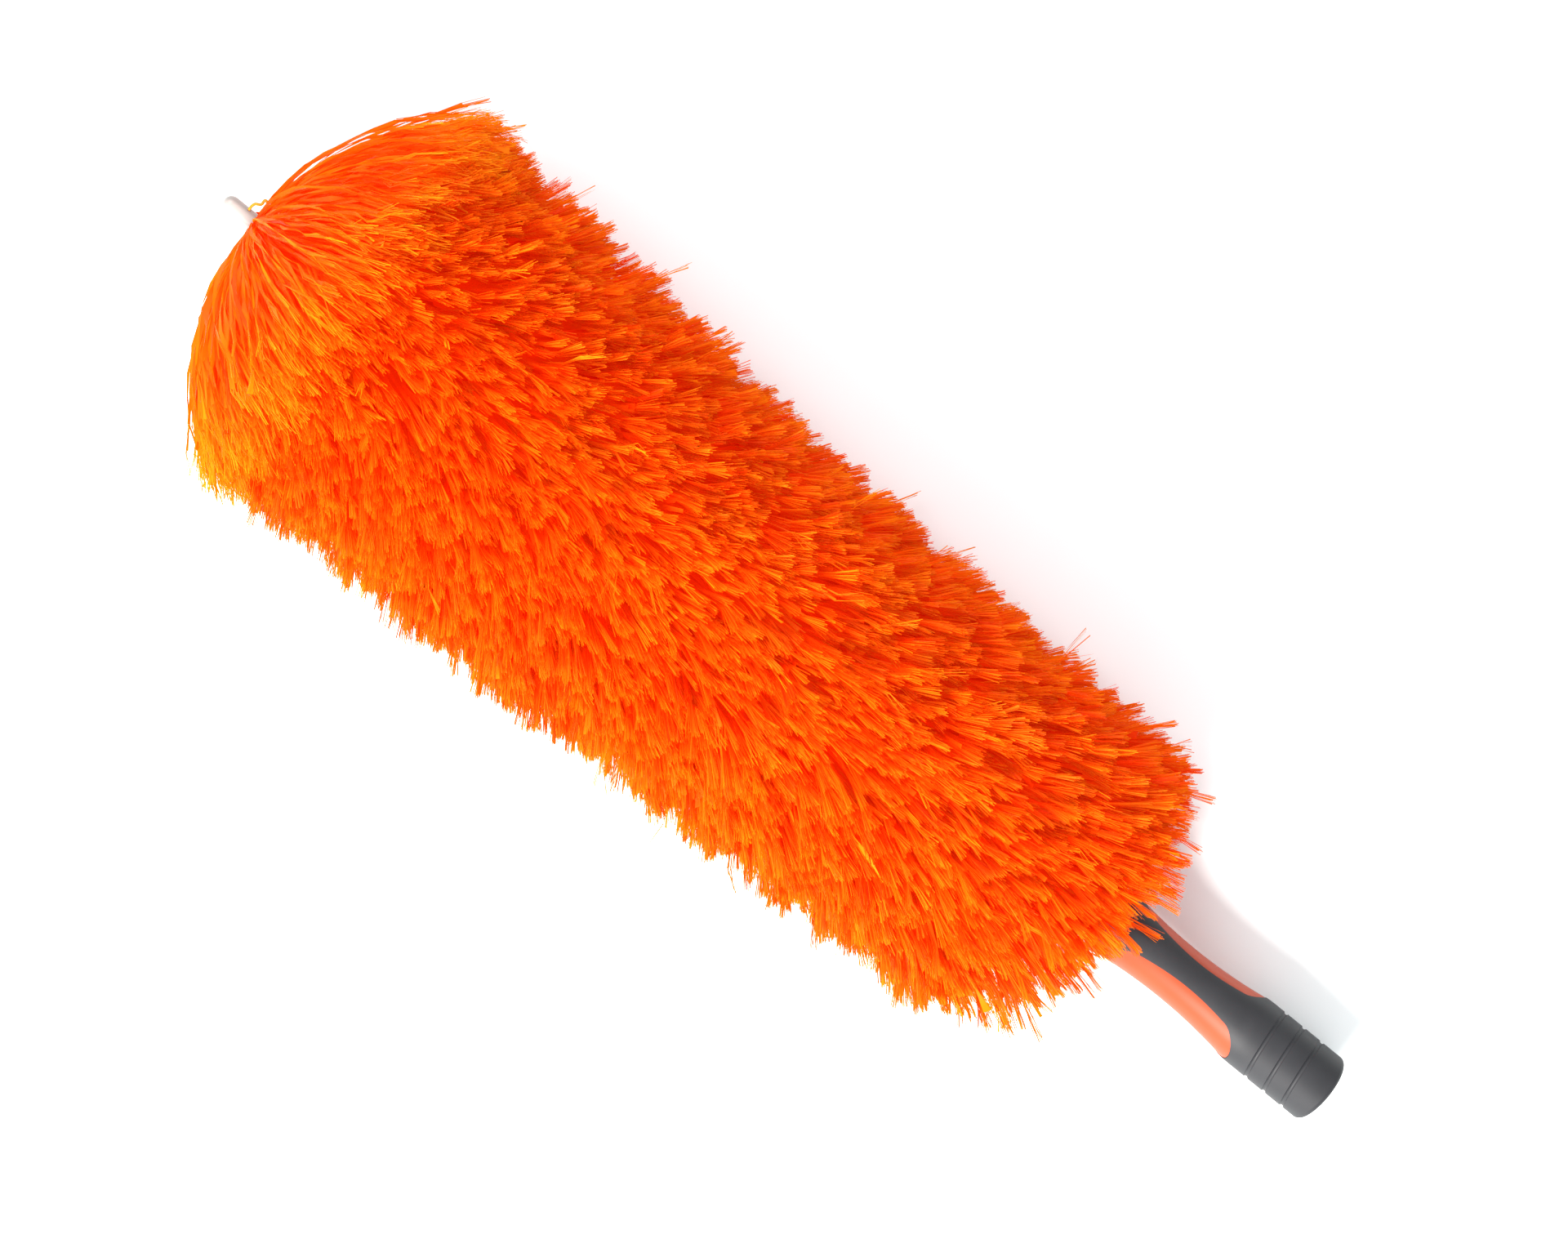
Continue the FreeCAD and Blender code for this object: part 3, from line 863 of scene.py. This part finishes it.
class DUSTER_OT_fringe(bpy.types.Operator):
    """Wind the fringe: tufts over the whole head, long strands round its nose and a fan over the neck"""

    bl_idname = "duster.fringe"
    bl_label = "Wind the Fringe"

    def execute(self, context):
        s = context.scene.duster_fringe
        shared = shared_values(s, strand_material(s))
        for name, bend, values in fringe_pieces(s):
            piece = grow(name, fringe_tree(), shared | values)
            keep_attributes(piece.data, ("reach", "tint"))
            start = on_shaft(BENDS[bend] - BEND_REACH)
            end = on_shaft(BENDS[bend] + BEND_REACH)
            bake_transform(piece, *BODY_PAIRS[bend], start=start, end=end)
            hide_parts(*DRUMS[bend])
        return {"FINISHED"}


# ---------------------------------------------------------------- finishes of the frame's own pieces


def dress(material, *names):
    """Gives frame nodes a material."""
    for name in names:
        for slot in NODES[name].material_slots:
            slot.material = material


def finish(name, build):
    """A material whose Principled shader's sockets come from a function of its graph."""
    material = bpy.data.materials.new(name)
    material.use_nodes = True
    material.node_tree.nodes.clear()
    g = Graph(material.node_tree)
    place = g.add("ShaderNodeTexCoord", {}, {}, "Object")
    shader = g.add("ShaderNodeBsdfPrincipled", {}, build(g, place))
    g.add("ShaderNodeOutputMaterial", {}, {"Surface": shader})
    return material


def bump(g, height, strength, distance):
    sockets = {"Height": height, "Strength": strength, "Distance": distance}
    return g.add("ShaderNodeBump", {}, sockets)


class DUSTER_OT_grip(bpy.types.Operator):
    """Finish the grip's soft sleeve and hard core"""

    bl_idname = "duster.grip"
    bl_label = "Finish the Grip"

    def execute(self, context):
        s = context.scene.duster_grip

        def sleeve(g, place):
            grain = g.noise(place, 2600.0, 3.0, 0.6)
            cloud = g.noise(place, 60.0, 4.0, 0.6)
            share = (cloud - 0.3) * 1.4
            colour = g.mix(share, scaled(s.sleeve_colour, 0.86), scaled(s.sleeve_colour, 1.2))
            return {
                "Base Color": colour,
                "Roughness": 0.56 + (cloud - 0.5) * 0.2,
                "Specular IOR Level": 0.3,
                "Normal": bump(g, grain, 0.35, 0.12 * MM),
            }

        def core(g, place):
            grain = g.noise(place, 1500.0, 2.0, 0.5)
            cloud = g.noise(place, 45.0, 3.0, 0.5)
            share = (cloud - 0.3) * 1.4
            colour = g.mix(share, scaled(s.core_colour, 0.92), scaled(s.core_colour, 1.06))
            return {
                "Base Color": colour,
                "Roughness": 0.42 + (cloud - 0.5) * 0.14,
                "Specular IOR Level": 0.22,
                "Normal": bump(g, grain, 0.2, 0.08 * MM),
            }

        dress(finish("soft_sleeve", sleeve), "grip_sleeve")
        dress(finish("moulded_core", core), "grip_core", "neck_plug")
        return {"FINISHED"}


class DUSTER_OT_rod(bpy.types.Operator):
    """Finish the rod's sheath and wire, the fringe's tape, the binding threads and the neck screw"""

    bl_idname = "duster.rod"
    bl_label = "Finish the Rod"

    def execute(self, context):
        s = context.scene.duster_grip
        orange = context.scene.duster_fringe.tip_colour

        def sheath(g, place):
            cloud = g.noise(place, 80.0, 3.0, 0.5)
            colour = g.mix(cloud, scaled(s.sheath_colour, 0.96), scaled(s.sheath_colour, 1.04))
            return {
                "Base Color": colour,
                "Roughness": 0.26 + cloud * 0.1,
                "Normal": bump(g, cloud, 0.1, 0.1 * MM),
            }

        def steel(g, place):
            brushed = g.noise(place, 900.0, 2.0, 0.6)
            return {
                "Base Color": g.mix(brushed, (0.42, 0.42, 0.43, 1), (0.6, 0.6, 0.61, 1)),
                "Metallic": 1.0,
                "Roughness": 0.3 + brushed * 0.2,
            }

        def weave(g, place):
            x, y, z = place.parts()
            rib = (x * 5200.0).sin() * 0.5 + 0.5
            cross = ((y + z) * 4200.0).sin() * 0.5 + 0.5
            return {
                # painted shade: the tape is drawn darker where its weave dips, in the same pattern as its
                # bump
                "Base Color": g.mix(rib * cross, scaled(orange, 0.55), scaled(orange, 0.95)),
                "Roughness": 0.75,
                "Normal": bump(g, rib * cross, 0.6, 0.2 * MM),
            }

        stretches = ("base", "lower", "upper", "tip")
        dress(finish("white_sheath", sheath), *(f"rod_sheath_{n}" for n in stretches))
        metal = finish("drawn_steel", steel)
        dress(metal, "neck_screw", *(f"rod_wire_{n}" for n in stretches))
        tape = finish("woven_tape", weave)
        dress(tape, "tip_binding", "neck_binding", *(f"fringe_tape_{n}" for n in stretches))
        self.add_thread_end(tape)
        return {"FINISHED"}

    def add_thread_end(self, material):
        """The loose end of the tip binding's thread: a small loop that stands off one side of the rod."""
        curve = bpy.data.curves.new("thread_end", "CURVE")
        curve.dimensions = "3D"
        curve.bevel_depth = 0.75 * MM
        curve.bevel_resolution = 3
        line = curve.splines.new("BEZIER")
        line.bezier_points.add(len(THREAD_END) - 1)
        start = node_span("tip_binding")[1] - 2 * MM
        for point, (along, aside, raised) in zip(line.bezier_points, THREAD_END):
            place = on_shaft(start + along * MM) + UP * raised * MM
            point.co = place + Vector((0, aside * MM, 0))
            point.handle_left_type = point.handle_right_type = "AUTO"
        shaped = bpy.data.objects.new("thread_end_line", curve)
        mesh = bpy.data.meshes.new_from_object(shaped)
        mesh.materials.append(material)
        thread = bpy.data.objects.new("thread_end", mesh)
        bpy.context.scene.collection.objects.link(thread)
        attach(thread, BODY_PAIRS[-1][1])


# ---------------------------------------------------------------- the studio


def aim(item, target):
    item.rotation_euler = (Vector(target) - item.location).to_track_quat("-Z", "Y").to_euler()


def area_light(name, place, target, size, power, colour=(1, 1, 1)):
    data = bpy.data.lights.new(name, "AREA")
    data.shape = "DISK"
    data.size = size
    data.energy = power
    data.color = colour
    light = bpy.data.objects.new(name, data)
    light.location = place
    bpy.context.scene.collection.objects.link(light)
    aim(light, target)


class DUSTER_OT_studio(bpy.types.Operator):
    """Set up the floor, the lights and the camera that looks straight down"""

    bl_idname = "duster.studio"
    bl_label = "Set Up the Studio"

    def execute(self, context):
        s = context.scene.duster_studio
        scene = context.scene
        mesh = bpy.data.meshes.new("studio_floor")
        form = bmesh.new()
        bmesh.ops.create_grid(form, x_segments=2, y_segments=2, size=8)
        form.to_mesh(mesh)
        form.free()
        floor = bpy.data.objects.new("studio_floor", mesh)
        scene.collection.objects.link(floor)

        def paper(g, place):
            cloud = g.noise(place, 3.0, 2.0, 0.5)
            return {
                "Base Color": g.mix(cloud, scaled(s.floor_colour, 0.99), scaled(s.floor_colour, 1.01)),
                "Roughness": 0.9,
                "Specular IOR Level": 0.1,
            }

        mesh.materials.append(finish("studio_paper", paper))

        world = bpy.data.worlds.new("studio")
        world.use_nodes = True
        background = next(n for n in world.node_tree.nodes if n.type == "BACKGROUND")
        background.inputs["Color"].default_value = (0.98, 0.99, 1.0, 1)
        background.inputs["Strength"].default_value = s.sky
        scene.world = world
        scene.view_settings.view_transform = "Standard"

        middle = on_shaft(380 * MM)
        area_light("key", (middle.x - 0.15, 1.15, 1.0), middle, 0.7, s.key_power, (1.0, 0.97, 0.93))
        area_light("fill", (middle.x + 0.9, -0.4, 1.3), middle, 1.2, s.key_power * 0.18)

        camera = bpy.data.objects.new("camera", bpy.data.cameras.new("camera"))
        camera.data.lens = s.lens
        camera.data.sensor_width = 36
        camera.data.clip_start = 0.05
        camera.location = (9.5 * MM, -11.2 * MM, s.height)
        camera.rotation_euler = (0, 0, s.turn)
        scene.collection.objects.link(camera)
        scene.camera = camera
        return {"FINISHED"}


# ---------------------------------------------------------------- the add-on

STEPS = (DUSTER_OT_fringe, DUSTER_OT_grip, DUSTER_OT_rod, DUSTER_OT_studio)
SETTINGS = {
    "duster_fringe": DusterFringeSettings,
    "duster_grip": DusterGripSettings,
    "duster_studio": DusterStudioSettings,
}


class DUSTER_PT_panel(bpy.types.Panel):
    """The duster's steps, in the order in which they are run"""

    bl_idname = "DUSTER_PT_panel"
    bl_label = "Feather Duster"
    bl_space_type = "VIEW_3D"
    bl_region_type = "UI"
    bl_category = "Duster"

    def draw(self, context):
        for name, group in SETTINGS.items():
            box = self.layout.box()
            for field in group.__annotations__:
                box.prop(getattr(context.scene, name), field)
        for step in STEPS:
            self.layout.operator(step.bl_idname)


CLASSES = (*SETTINGS.values(), *STEPS, DUSTER_PT_panel)


def register():
    for item in CLASSES:
        bpy.utils.register_class(item)
    for name, group in SETTINGS.items():
        setattr(bpy.types.Scene, name, PointerProperty(type=group))


def unregister():
    for name in SETTINGS:
        delattr(bpy.types.Scene, name)
    for item in reversed(CLASSES):
        bpy.utils.unregister_class(item)


def main():
    register()
    for step in STEPS:
        group, name = step.bl_idname.split(".")
        getattr(getattr(bpy.ops, group), name)()


if __name__ == "__main__":
    main()
